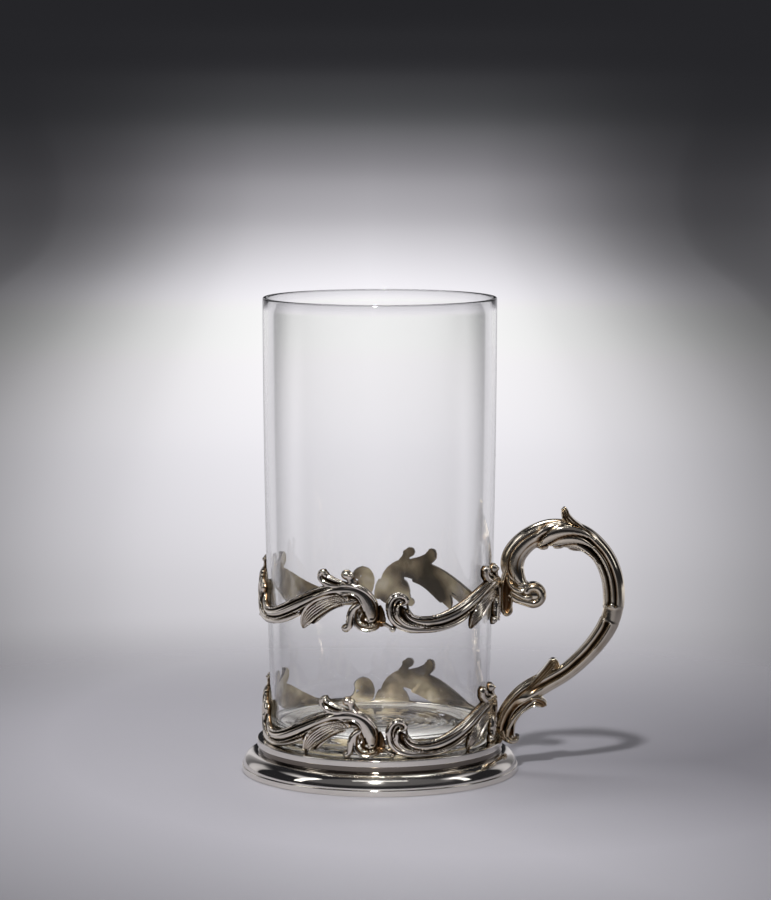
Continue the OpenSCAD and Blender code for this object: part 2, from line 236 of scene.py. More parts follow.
# Floor plate: a disc of sheet silver that the glass stands on, planished with a light hammer
# and left frosted white from the acid, so it is pale from every side.
plate_low, plate_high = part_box("floor_plate")
plate_r, plate_z = plate_high.x / MM, plate_high.z / MM
plate_bottom = plate_low.z / MM
hammer_dent = 3  # mm across a dent of the planishing hammer
dent_depth = 0.06
frost_patch = 9  # mm across a cloud in the frosting
plate_profile = [
    (0, plate_bottom), (plate_r - bevel, plate_bottom), (plate_r, plate_bottom + bevel),
    (plate_r, plate_z - bevel), (plate_r - bevel, plate_z), (0, plate_z)]

# Sheet silver: frosted white by the acid, so it scatters the light almost as paper does, with a
# soft gloss where the hammer left its shallow dents.
sheet_silver, tree, shader = begin("sheet_silver")
place = add(tree, "ShaderNodeTexCoord").outputs["Object"]
dents = add(tree, "ShaderNodeTexNoise", {"Scale": 1 / (hammer_dent * MM), "Detail": 1.0}, {"Vector": place})
clouds = add(tree, "ShaderNodeTexNoise", {"Scale": 1 / (frost_patch * MM), "Detail": 3.0}, {"Vector": place})
tint = add(tree, "ShaderNodeMix", {"data_type": "RGBA", 6: linear("F0EEEB"), 7: linear("F9F8F6")},
           {0: clouds.outputs[0]})
bump = add(tree, "ShaderNodeBump", {"Strength": 0.5, "Distance": dent_depth * MM},
           {"Height": dents.outputs[0]})
shader.inputs["Metallic"].default_value = 0.3
shader.inputs["Roughness"].default_value = 0.25
tree.links.new(tint.outputs[2], shader.inputs["Base Color"])
tree.links.new(bump.outputs[0], shader.inputs["Normal"])
piece("floor_plate_disc", [shell(turned(plate_profile), cyclic=True)], [sheet_silver],
      "holder", ["floor_plate"])

# Scroll castings: each band is one sand-cast pattern soldered round four times. The front is
# chased and polished, and the back is left as it came from the pickle, dull and brownish.
cast_colour = "EBE3D6"
# The near-black that the deepest grooves are painted with: tarnish and painted shade together.
tarnish_colour = "20180F"
cast_pit = 0.5  # mm between the pits of the sand, only just visible
pit_depth = 0.02
tarnish_patch = 4  # mm across a patch that tarnished more than the next
full_tarnish = 0.36  # mm that a groove lies under what is round it where it is quite black
quarter = 54.8  # mm along a quarter of a band, half way up its relief
band_h = 18.6
relief = 2.3
lower_r = 33.6
upper_r = 34.55
band_rise = 37.6  # mm that the upper band stands over the lower
lean = 3  # mm, how much lower the upper band hangs at the back, beside the handle
lean_angle = math.radians(70)
cell = 0.18  # mm between the points of the pattern's skin
path_step = 0.25  # mm between the places where a strip is laid along its path
edge_h = 0.3  # mm, the thinnest the casting is at its outline


def smooth(rows, steps):
    """A curve through rows of numbers, with equal steps between each two."""
    rows = np.array(rows, float)
    padded = np.vstack([rows[:1], rows, rows[-1:]])
    t = (np.arange(steps) / steps)[:, None]
    spans = [
        0.5 * (2 * b + (c - a) * t + (2 * a - 5 * b + 4 * c - d) * t**2 + (3 * b - a - 3 * c + d) * t**3)
        for a, b, c, d in zip(padded, padded[1:], padded[2:], padded[3:])]
    return np.vstack(spans + [rows[-1:]])


pattern_x = np.linspace(0, quarter, round(quarter / cell) + 1)
pattern_y = np.linspace(0, band_h, round(band_h / cell) + 1)
ground = np.stack(np.meshgrid(pattern_x, pattern_y, indexing="ij"), -1)
on_quarter = np.array([quarter, band_h])


def strip(rows, section, onto=ground, size=on_quarter, step=cell):
    """How high a strip stands over the flat ground of a pattern. A row is the place along and
    across, as shares of size, and the width and height in millimetres. A section is shares across
    the width, from 1 on the left to -1, and of the height."""
    path = smooth(rows, 12)
    path[:, :2] *= size
    walked = np.concatenate([[0], np.cumsum(np.linalg.norm(np.diff(path[:, :2], axis=0), axis=1))])
    even = np.linspace(0, walked[-1], max(int(walked[-1] / path_step), 4))
    path = np.stack([np.interp(even, walked, column) for column in path.T], 1)
    heading = np.gradient(path[:, :2], axis=0)
    heading /= np.linalg.norm(heading, axis=1)[:, None] + 1e-9
    shares, tops = smooth(section, 4)[::-1].T
    height = np.zeros(onto.shape[:2])
    for place, way, width, top in zip(path[:, :2], heading, path[:, 2], path[:, 3]):
        half = max(width / 2, step)
        low = np.maximum(((place - half) / step).astype(int) - 2, 0)
        high = np.maximum(((place + half) / step).astype(int) + 4, 0)
        window = (slice(low[0], high[0]), slice(low[1], high[1]))
        gap = onto[window] - place
        along = np.abs(gap @ way)
        across = (gap[..., 1] * way[0] - gap[..., 0] * way[1]) / half
        value = np.interp(across, shares, tops, 0, 0) * top
        height[window] = np.maximum(height[window], np.where(along < 0.35, value, 0))
    return height


def dome(place, width, top):
    """How high a round bead stands over the pattern's ground."""
    far = np.linalg.norm(ground - np.array(place) * on_quarter, axis=-1) / (width / 2)
    return top * np.sqrt(np.clip(1 - far**2, 0, 1))


rib = [(1, 0.1), (0.9, 0.5), (0.6, 0.86), (0, 1), (-0.6, 0.86), (-0.9, 0.5), (-1, 0.1)]
channel = [
    (1, 0.5), (0.97, 0.86), (0.9, 1), (0.82, 0.86), (0.76, 0.35), (0.62, 0.35), (0.55, 0.72), (0.25, 0.88),
    (-0.05, 0.9), (-0.35, 0.8), (-0.5, 0.66), (-0.56, 0.3), (-0.7, 0.3), (-0.76, 0.86), (-0.86, 1),
    (-0.96, 0.86), (-1, 0.4)]
petal = [(1, 0.3), (0.9, 0.7), (0.6, 0.93), (0.2, 1), (-0.3, 0.97), (-0.7, 0.82), (-0.92, 0.55), (-1, 0.25)]
across = np.linspace(1, -1, 97)
veins = sum(np.exp(-(((across - place) / 0.05) ** 2)) for place in (-0.58, -0.3, 0.0, 0.3, 0.58))
raised_rim = np.exp(-(((np.abs(across) - 0.86) / 0.09) ** 2))
leaf_height = 0.74 + 0.1 * (1 - across**2) + 0.26 * raised_rim - 0.2 * veins
veined = np.stack([across, np.minimum(leaf_height, 0.4 + 12 * (1 - np.abs(across)))], 1)
cupped = [
    (1, 0.35), (0.9, 0.9), (0.74, 1), (0.5, 0.8), (0.1, 0.7), (-0.35, 0.78), (-0.65, 0.97), (-0.88, 0.88),
    (-1, 0.3)]
rolled = [
    (1, 0.4), (0.9, 0.85), (0.6, 1), (0.2, 0.95), (-0.1, 0.5), (-0.3, 0.5), (-0.55, 0.86), (-0.85, 0.7),
    (-1, 0.3)]
flat_web = [(1, 0.7), (0.8, 1), (-0.8, 1), (-1, 0.7)]

ring_scroll = [
    (0.105, 0.452, 0.6, 1.0), (0.124, 0.458, 1.0, 1.4), (0.14, 0.505, 1.4, 1.8), (0.13, 0.566, 1.6, 2.0),
    (0.1, 0.596, 1.75, 2.1), (0.07, 0.568, 1.8, 2.15), (0.052, 0.49, 1.8, 2.15), (0.048, 0.39, 1.8, 2.15),
    (0.056, 0.27, 1.8, 2.1), (0.08, 0.165, 1.9, 2.05), (0.115, 0.1, 1.95, 1.95), (0.165, 0.056, 1.9, 1.85),
    (0.23, 0.042, 1.7, 1.75), (0.3, 0.046, 1.5, 1.7), (0.38, 0.08, 1.3, 1.6), (0.45, 0.137, 1.2, 1.5),
    (0.51, 0.205, 1.0, 1.3), (0.545, 0.258, 0.5, 0.8)]
ring_inner = [
    (0.118, 0.505, 0.6, 1.3), (0.098, 0.538, 0.8, 1.6), (0.078, 0.48, 0.8, 1.7), (0.071, 0.38, 0.7, 1.7),
    (0.079, 0.27, 0.7, 1.65), (0.1, 0.18, 0.7, 1.6), (0.14, 0.125, 0.6, 1.5), (0.19, 0.105, 0.5, 1.3)]
tongue = [
    (0.096, 0.44, 0.9, 1.5), (0.09, 0.39, 1.5, 1.95), (0.091, 0.3, 1.6, 2.0), (0.104, 0.22, 1.6, 2.0),
    (0.13, 0.152, 1.5, 1.95), (0.17, 0.108, 1.2, 1.8), (0.22, 0.09, 0.8, 1.6), (0.27, 0.09, 0.4, 1.4)]
main_stem = [
    (0.132, 0.39, 0.6, 0.8), (0.143, 0.3, 1.2, 1.2), (0.162, 0.23, 1.8, 1.5), (0.2, 0.18, 2.3, 1.75),
    (0.25, 0.16, 2.9, 1.85), (0.3, 0.166, 3.3, 1.9), (0.36, 0.196, 3.6, 1.9), (0.43, 0.26, 3.7, 1.9),
    (0.5, 0.343, 3.6, 1.9), (0.57, 0.436, 3.3, 1.9), (0.64, 0.53, 3.1, 1.85), (0.71, 0.6, 2.8, 1.75),
    (0.78, 0.64, 2.2, 1.6), (0.83, 0.65, 1.4, 1.3)]
head = [
    (0.66, 0.58, 0.9, 1.4), (0.72, 0.63, 1.5, 1.75), (0.78, 0.66, 2.1, 1.9), (0.84, 0.668, 2.7, 2.0),
    (0.885, 0.638, 3.2, 2.15), (0.917, 0.565, 3.5, 2.25), (0.937, 0.46, 3.6, 2.3), (0.948, 0.36, 3.4, 2.3),
    (0.952, 0.28, 2.8, 2.2), (0.952, 0.22, 1.6, 1.9)]
brow = [
    (0.78, 0.615, 0.4, 1.6), (0.82, 0.625, 0.7, 2.1), (0.855, 0.61, 0.8, 2.3), (0.885, 0.565, 0.8, 2.3),
    (0.9, 0.5, 0.7, 2.2), (0.91, 0.43, 0.5, 2.0), (0.918, 0.36, 0.3, 1.8)]
top_rib = [
    (0.146, 0.45, 0.4, 0.9), (0.151, 0.385, 0.7, 1.3), (0.163, 0.315, 0.85, 1.6), (0.187, 0.266, 0.8, 1.7),
    (0.222, 0.24, 0.75, 1.7), (0.27, 0.238, 0.7, 1.7), (0.33, 0.264, 0.7, 1.7), (0.4, 0.334, 0.7, 1.7),
    (0.47, 0.42, 0.7, 1.7), (0.54, 0.515, 0.75, 1.7), (0.6, 0.597, 0.75, 1.7), (0.66, 0.665, 0.8, 1.75),
    (0.72, 0.716, 0.85, 1.8), (0.78, 0.742, 0.95, 1.85), (0.83, 0.752, 1.25, 2.0), (0.865, 0.742, 1.5, 2.15),
    (0.9, 0.706, 1.5, 2.2), (0.935, 0.645, 1.35, 2.15), (0.963, 0.56, 1.2, 2.1), (0.98, 0.46, 1.15, 2.1),
    (0.984, 0.36, 1.15, 2.05), (0.979, 0.27, 1.15, 2.05), (0.964, 0.205, 1.2, 2.0), (0.944, 0.185, 0.9, 1.8)]
leaf_lobes = [
    [(0.9, 0.54, 1.6, 1.3), (0.85, 0.545, 2.2, 1.6), (0.79, 0.525, 3.0, 1.8), (0.73, 0.475, 3.9, 1.9),
     (0.675, 0.4, 4.7, 1.95), (0.63, 0.31, 4.8, 1.9), (0.595, 0.21, 4.2, 1.75), (0.572, 0.12, 3.0, 1.4),
     (0.56, 0.055, 1.6, 1.0), (0.556, 0.02, 0.5, 0.6)],
    [(0.8, 0.44, 1.2, 1.3), (0.75, 0.4, 1.7, 1.55), (0.71, 0.34, 2.0, 1.6), (0.675, 0.265, 2.0, 1.5),
     (0.648, 0.19, 1.6, 1.2), (0.63, 0.13, 0.9, 0.8), (0.62, 0.1, 0.4, 0.5)],
    [(0.7, 0.5, 1.2, 1.4), (0.64, 0.43, 1.7, 1.6), (0.59, 0.35, 1.8, 1.5), (0.558, 0.285, 1.3, 1.2),
     (0.535, 0.235, 0.5, 0.7)]]
big_curl = [
    (0.86, 0.735, 0.9, 1.3), (0.81, 0.745, 1.9, 1.7), (0.765, 0.76, 2.7, 1.85), (0.726, 0.79, 3.3, 1.95),
    (0.702, 0.83, 3.5, 2.0), (0.692, 0.872, 3.4, 2.05), (0.694, 0.906, 3.0, 2.15), (0.704, 0.925, 2.1, 2.2)]
small_curl = [
    (0.866, 0.75, 2.6, 1.7), (0.852, 0.8, 2.5, 1.75), (0.842, 0.86, 2.3, 1.8), (0.832, 0.9, 2.0, 1.9)]
branch = [
    (0.905, 0.46, 1.2, 1.4), (0.88, 0.42, 1.8, 1.7), (0.858, 0.365, 2.2, 1.9), (0.846, 0.28, 2.2, 1.95),
    (0.841, 0.18, 2.1, 1.9), (0.834, 0.1, 2.1, 1.85), (0.82, 0.06, 2.1, 1.8)]
crescent = [
    (0.886, 0.4, 0.8, 1.3), (0.877, 0.32, 1.5, 1.7), (0.874, 0.22, 1.8, 1.85), (0.884, 0.14, 2.0, 1.95),
    (0.908, 0.09, 2.0, 1.95), (0.94, 0.074, 2.0, 1.95), (0.968, 0.09, 1.8, 1.9), (0.988, 0.125, 1.4, 1.7),
    (0.999, 0.17, 0.9, 1.3)]
link = [(-0.01, 0.17, 1.1, 1.1), (0.02, 0.15, 1.1, 1.3), (0.045, 0.115, 1.0, 1.4), (0.065, 0.075, 0.9, 1.5)]

# Webs: thin sheets of metal behind the open scrolls, which hold the casting together.
webs = [
    [(0.062, 0.5, 3.6, 0.7), (0.085, 0.38, 4.4, 0.7), (0.11, 0.26, 4.6, 0.7), (0.15, 0.17, 3.0, 0.7)],
    [(0.9, 0.55, 5.0, 1.2), (0.915, 0.4, 6.6, 1.2), (0.922, 0.25, 7.4, 1.2), (0.925, 0.12, 6.6, 1.2)],
    [(0.64, 0.43, 2.0, 0.7), (0.71, 0.5, 3.0, 0.7), (0.79, 0.57, 3.0, 0.7), (0.87, 0.6, 2.4, 0.7)],
    [(0.674, 0.9, 1.6, 0.9), (0.69, 0.94, 1.6, 0.9)],
    [(-0.01, 0.42, 2.0, 0.7), (-0.005, 0.3, 3.4, 0.8), (0.0, 0.18, 3.4, 0.8), (0.0, 0.12, 2.0, 0.7)],
    [(1.01, 0.42, 1.6, 0.7), (1.005, 0.3, 2.6, 0.8), (1.0, 0.18, 2.6, 0.8), (1.0, 0.12, 1.6, 0.7)]]

heights = [strip(rows, rib) for rows in (
    ring_scroll, ring_inner, tongue, brow, top_rib, branch, link, small_curl)]
heights += [strip(main_stem, channel), strip(head, petal), strip(crescent, cupped), strip(big_curl, rolled)]
heights += [strip(rows, veined) for rows in leaf_lobes]
heights += [strip(rows, flat_web) for rows in webs]
bead_path = smooth([(0.113, 0.245), (0.137, 0.178), (0.172, 0.138), (0.215, 0.125), (0.262, 0.128)], 3)
inner_beads = smooth([(0.905, 0.3), (0.894, 0.23), (0.902, 0.165), (0.93, 0.13), (0.962, 0.15)], 2)
heights += [dome(place, 0.7, 1.75) for place in bead_path]
heights += [dome(place, 1.0, 1.95) for place in inner_beads]
knobs = [
    ((0.822, 0.91), 3.0, 2.15), ((0.846, 0.895), 2.0, 2.25), ((0.704, 0.9), 1.7, 2.3),
    ((0.819, 0.065), 2.5, 2.0), ((0.957, 0.215), 1.9, 2.3), ((0.067, 0.065), 1.8, 1.9),
    ((0.93, 0.215), 1.5, 2.1), ((0.09, 0.4), 1.4, 2.15)]
heights += [dome(*knob) for knob in knobs]
blend = 14  # the highest strip wins, and the higher this is the smaller the fillet between two
pattern = np.sum(np.array(heights) ** blend, axis=0) ** (1 / blend)


def spread(field, times):
    """A field with each point averaged with its neighbours, so many times over."""
    for _ in range(times):
        wide = np.pad(field, 1, mode="edge")
        sides = wide[:-2, 1:-1] + wide[2:, 1:-1] + wide[1:-1, :-2] + wide[1:-1, 2:]
        field = (4 * field + sides) / 8
    return field


def sunk(field):
    """How many millimetres each point of a field lies under what is round it."""
    return spread(field, 30) - field


# The outline is where the pattern is thick enough; cells that would touch at a corner alone are
# closed, and points on the outline are moved to it along the slope.
soft = spread(np.minimum(pattern, 2 * edge_h), 2)
filled = (soft[1:, 1:] + soft[:-1, 1:] + soft[1:, :-1] + soft[:-1, :-1]) / 4 > edge_h
for _ in range(3):
    a, b, c, d = filled[:-1, :-1], filled[1:, :-1], filled[:-1, 1:], filled[1:, 1:]
    corner = ((a & d & ~b & ~c) | (b & c & ~a & ~d))
    filled[:-1, :-1] |= corner
    filled[1:, :-1] |= corner
    filled[:-1, 1:] |= corner
    filled[1:, 1:] |= corner
number = np.arange(pattern.size).reshape(pattern.shape)
cells = np.stack([number[:-1, :-1], number[1:, :-1], number[1:, 1:], number[:-1, 1:]], -1)[filled]
slope = np.stack(np.gradient(soft, cell), -1)
step = (edge_h - soft)[..., None] * slope / (np.sum(slope**2, -1, keepdims=True) + 1e-3)
reach_out = np.linalg.norm(step, axis=-1, keepdims=True)
step *= np.minimum(1, 0.8 * cell / (reach_out + 1e-9))
edges = np.concatenate([cells[:, [k, (k + 1) % 4]] for k in range(4)])
keys = edges[:, 0] * pattern.size + edges[:, 1]
back_keys = edges[:, 1] * pattern.size + edges[:, 0]
outline = edges[~np.isin(keys, back_keys)]
on_outline = np.zeros(pattern.size, bool)
on_outline[outline.ravel()] = True
on_outline = on_outline.reshape(pattern.shape)
off_ends = (pattern_x[:, None] > 0) & (pattern_x[:, None] < quarter)
inside_sides = off_ends & (pattern_y > 0) & (pattern_y < band_h)
moved = ground + np.where((on_outline & inside_sides)[..., None], step, 0)
wide = np.pad(pattern, 1, mode="edge")
rows_on, rows_up = pattern.shape
tallest = np.max([wide[k : k + rows_on, m : m + rows_up] for k in range(3) for m in range(3)], axis=0)
outline_h = spread(np.where(on_outline, 0.4 * pattern + 0.6 * tallest, 0), 10)
outline_h /= np.maximum(spread(on_outline.astype(float), 10), 1e-6)
skin_h = np.where(on_outline, outline_h, np.maximum(pattern, edge_h))
skin_h = (skin_h + spread(skin_h, 1)) / 2

# Close to the outline the heights are evened out, so that its cells don't show as a row of bumps.
within = np.zeros(pattern.size)
within[cells.ravel()] = 1
within = within.reshape(pattern.shape)
near_outline = np.clip(4 * spread(on_outline.astype(float), 4), 0, 1)
even_h = spread(skin_h * within, 5) / np.maximum(spread(within, 5), 1e-6)
skin_h += near_outline * (even_h - skin_h)
skin_h = np.clip(skin_h, edge_h, relief)

# Grooves and low places get tarnish and painted shade, darker the deeper a point lies under
# what is round it and the lower it stands, and the solder at the joints is brown.
pattern_shade = np.clip(sunk(skin_h) / full_tarnish + 0.6 * (1.4 - skin_h), 0, 1.2)
from_joint = np.minimum(ground[..., 0], quarter - ground[..., 0])
solder = np.clip(1.2 - from_joint / 2.2, 0, 1) * (ground[..., 1] < 0.5 * band_h)
pattern_shade = np.maximum(pattern_shade, 0.5 * solder)
kept, cell_numbers = np.unique(cells, return_inverse=True)
cell_numbers = cell_numbers.reshape(cells.shape)
outline_numbers = np.searchsorted(kept, outline)
half_count = len(kept)
front_points = np.concatenate([moved.reshape(-1, 2)[kept], skin_h.reshape(-1, 1)[kept]], 1)
back_points = np.concatenate([moved.reshape(-1, 2)[kept], np.zeros((half_count, 1))], 1)
flat_points = np.concatenate([front_points, back_points])
walls = np.stack([outline_numbers[:, 1], outline_numbers[:, 0], outline_numbers[:, 0] + half_count,
                  outline_numbers[:, 1] + half_count], 1)
casting_faces = np.concatenate([cell_numbers, cell_numbers[:, ::-1] + half_count, walls]).tolist()
casting_slots = [0] * len(cells) + [1] * len(cells) + [0] * len(walls)
# The back points take a deep recess, so each wall of the outline is painted darker towards the glass:
# tarnish and painted shade.
casting_shade = np.concatenate([pattern_shade.ravel()[kept], np.full(half_count, 0.8)])


def round_band(points, r, turn, base, drop, flat_x):
    """Bends the flat pattern round the glass, where the root of the handle is filed flat."""
    angle = math.radians(turn) + points[:, 0] / quarter * math.pi / 2
    out = r + points[:, 2]
    low = drop / 2 * (1 + np.cos(angle - lean_angle))
    x = np.minimum(out * np.cos(angle), flat_x)
    return np.stack([x, out * np.sin(angle), base + points[:, 1] - low], -1)


def cast_finish(name, high, worn, brown):
    """Cast silver, polished over its sand-cast skin: bright on the high places, going brown and
    then black with the recess, which is tarnish where the cloth seldom reaches and painted shade
    in every groove that it passes over."""
    material, tree, shader = begin(name)
    place = add(tree, "ShaderNodeTexCoord").outputs["Object"]
    pits = add(tree, "ShaderNodeTexNoise", {"Scale": 1 / (cast_pit * MM), "Detail": 3.0}, {"Vector": place})
    clouds = add(tree, "ShaderNodeTexNoise", {"Scale": 1 / (tarnish_patch * MM), "Detail": 3.0},
                 {"Vector": place})
    recess = add(tree, "ShaderNodeAttribute", {"attribute_name": "recess"})
    patchy = add(tree, "ShaderNodeMath", {"operation": "MULTIPLY_ADD", 1: 0.5, 2: -0.28},
                 {0: clouds.outputs[0]})
    depth = add(tree, "ShaderNodeMath", {"operation": "ADD"},
                {0: recess.outputs["Fac"], 1: patchy.outputs[0]})
    dirt = add(tree, "ShaderNodeMapRange", {1: 0.0, 2: 0.68, 3: 0.0, 4: 1.0}, {0: depth.outputs[0]})
    tint = add(tree, "ShaderNodeValToRGB", links={0: dirt.outputs[0]},
               stops=[(0.0, high), (0.2, worn), (0.55, brown), (0.95, tarnish_colour)])
    haze = add(tree, "ShaderNodeMapRange", {1: 0.0, 2: 1.0, 3: 0.09, 4: 0.4}, {0: dirt.outputs[0]})
    bump = add(tree, "ShaderNodeBump", {"Strength": 0.3, "Distance": pit_depth * MM},
               {"Height": pits.outputs[0]})
    shader.inputs["Metallic"].default_value = 1
    tree.links.new(tint.outputs[0], shader.inputs["Base Color"])
    tree.links.new(haze.outputs[0], shader.inputs["Roughness"])
    tree.links.new(bump.outputs[0], shader.inputs["Normal"])
    return material


# Cast silver of the bands, and of the handle, which has gone yellow where no hand rubs it.
cast_silver = cast_finish("cast_silver", cast_colour, "CBBFAA", "6B5136")
handle_silver = cast_finish("yellowed_cast_silver", "E8DECC", "CDBDA3", "86694C")

# Pickled back: the same silver as it left the acid, olive brown, matt and cloudy.
stain = 9  # mm across a stain
hollow_w, hollow_h = 3.5, 0.9  # mm across and deep, of the hollows behind the relief
pickled_back, tree, shader = begin("pickled_back")
place = add(tree, "ShaderNodeTexCoord").outputs["Object"]
clouds = add(tree, "ShaderNodeTexNoise", {"Scale": 1 / (stain * MM), "Detail": 2.5, "Roughness": 0.4},
             {"Vector": place})
waves = add(tree, "ShaderNodeTexNoise", {"Scale": 1 / (hollow_w * MM), "Detail": 1.0}, {"Vector": place})
tint = add(tree, "ShaderNodeValToRGB", links={0: clouds.outputs[0]}, stops=[
    (0.34, "514839"), (0.44, "7B6D57"), (0.52, "A2937A"), (0.6, "C6B899"), (0.68, "DCD2BD")])
bump = add(tree, "ShaderNodeBump", {"Strength": 1.0, "Distance": hollow_h * MM},
           {"Height": waves.outputs[0]})
shader.inputs["Metallic"].default_value = 0.8
shader.inputs["Roughness"].default_value = 0.34
tree.links.new(tint.outputs[0], shader.inputs["Base Color"])
tree.links.new(bump.outputs[0], shader.inputs["Normal"])

band_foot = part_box("lower_scroll_1")[0].z / MM
bands = [("lower", lower_r, band_foot, 0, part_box("handle_lower")[0].x / MM),
         ("upper", upper_r, band_foot + band_rise, lean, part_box("handle_upper")[0].x / MM)]
for name, r, base, drop, flat_x in bands:
    for k in range(4):
        points = round_band(flat_points, r, 90 * (k - 1), base, drop, flat_x)
        piece(f"{name}_casting_{k + 1}", [(points, casting_faces, casting_slots, casting_shade)],
              [cast_silver, pickled_back], "holder", [f"{name}_scroll_{k + 1}"], sharp=60)

# Handle: two castings soldered end to end in the plain stretch at the right, and soldered by
# their roots to the bands. The bar is chased on both sides with a leaf sheath, and its leaf
# tips and scrolls stand free.
reach = 37.5  # mm out from the root, and the bar's rows say shares of it and of the rise
rise = 66.55
handle_x0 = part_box("handle_upper")[0].x / MM
handle_z0 = ring_h
bar_rows = [
    (0.25, 0.69, 1.8, 5.3), (0.18, 0.7, 3.5, 5.9), (0.12, 0.74, 6.0, 6.5), (0.093, 0.79, 7.2, 6.6),
    (0.128, 0.85, 7.2, 6.6), (0.243, 0.911, 6.9, 6.6), (0.419, 0.941, 7.5, 6.7), (0.637, 0.92, 7.1, 6.9),
    (0.797, 0.845, 6.7, 6.6), (0.883, 0.749, 6.8, 6.6), (0.909, 0.647, 6.8, 6.6), (0.888, 0.55, 6.3, 6.4),
    (0.813, 0.465, 6.0, 6.3), (0.683, 0.375, 5.6, 6.1), (0.525, 0.296, 5.3, 5.9), (0.36, 0.24, 5.5, 5.9),
    (0.205, 0.185, 5.5, 6.1), (0.093, 0.12, 4.9, 6.3), (0.04, 0.056, 4.8, 6.6), (0.036, 0.0, 4.9, 6.6)]
bar_steps = 24
joint_row = 11
bar_girth = 3.3  # mm, the bar's mean radius
root_stain = 0.18  # how much browner the castings are at their roots
root_x, root_fade = 37.5, 5  # mm from the axis where that starts to fade, and how far it goes on
# Tarnish and painted shade of the free leaves and scrolls: the dips of their section and the parts towards
# its edges are painted darker.
limb_stain = 0.9  # how brown the grooves of a free leaf or scroll are
bar_cell = math.pi * bar_girth / 35
bar = smooth(bar_rows, bar_steps)
bar[:, 0] = handle_x0 + bar[:, 0] * reach
bar[:, 1] = handle_z0 + bar[:, 1] * rise
bar_place = np.concatenate([[0], np.cumsum(np.linalg.norm(np.diff(bar[:, :2], axis=0), axis=1))])
bar_row = np.arange(len(bar)) / bar_steps
skin_s = np.arange(0, bar_place[-1], bar_cell)
skin_t = np.linspace(0, math.pi * bar_girth, 36)
bar_ground = np.stack(np.meshgrid(skin_s, skin_t, indexing="ij"), -1)
skin_row = np.interp(skin_s, bar_place, bar_row)[:, None]
bar = np.stack([np.interp(skin_s, bar_place, column) for column in bar.T], 1)
bar_heading = np.gradient(bar[:, :2], axis=0)
bar_heading /= np.linalg.norm(bar_heading, axis=1)[:, None]
bar_out = np.stack([-bar_heading[:, 1], bar_heading[:, 0]], 1)


def ramp(value, start, width):
    """0 before start, 1 after start + width, smooth between."""
    t = np.clip((value - start) / width, 0, 1)
    return t * t * (3 - 2 * t)


def chased(first, last, fade_in, fade_out, across, depth):
    """How deep a flute is cut between two rows. Across runs from the inner edge, -1, to the outer."""
    share = np.cos(skin_t / bar_girth)[None, :]
    there = ramp(skin_row, first, fade_in) * (1 - ramp(skin_row, last - fade_out, fade_out))
    return there * np.interp(share, across, depth)


def on_bar(rows, section):
    """A raised strip: rows of bar row, degrees round from its outer edge, width and height."""
    laid = [
        (np.interp(on, bar_row, bar_place), math.radians(turn) * bar_girth, width, high)
        for on, turn, width, high in rows]
    return strip(laid, section, bar_ground, 1, bar_cell)


cut = chased(6.7, 10.5, 0.9, 0.09,
             [-1, -0.8, -0.68, -0.6, -0.5, -0.38, -0.3, -0.1, 0.0, 0.1, 0.2, 0.28, 0.36, 1],
             [0.1, 0.0, 0.1, 0.55, 1.0, 0.6, 0.15, 0.05, 0.25, 0.75, 0.55, 0.15, 0.0, 0.0])
cut += chased(1.6, 5.6, 0.8, 0.7, [-0.5, -0.4, -0.3, 0.28, 0.38, 0.48], [0, 0.3, 0, 0, 0.4, 0])
cut += chased(11.22, 16.2, 0.12, 1.2, [-0.72, -0.6, -0.45, -0.2, 0.0, 0.1, 0.45, 0.52, 0.6],
              [0, 0.4, 1.0, 1.15, 0.7, 0.0, 0.0, 0.2, 0])
cut += chased(16.0, 19.3, 0.8, 0.3, [-0.6, -0.45, -0.1, 0.25, 0.5, 0.62], [0, 0.5, 1.1, 1.1, 0.4, 0])
cut += chased(10.5, 11.22, 0.05, 0.05, [-1, -0.5, 1], [0.25, 0.2, 0.1])
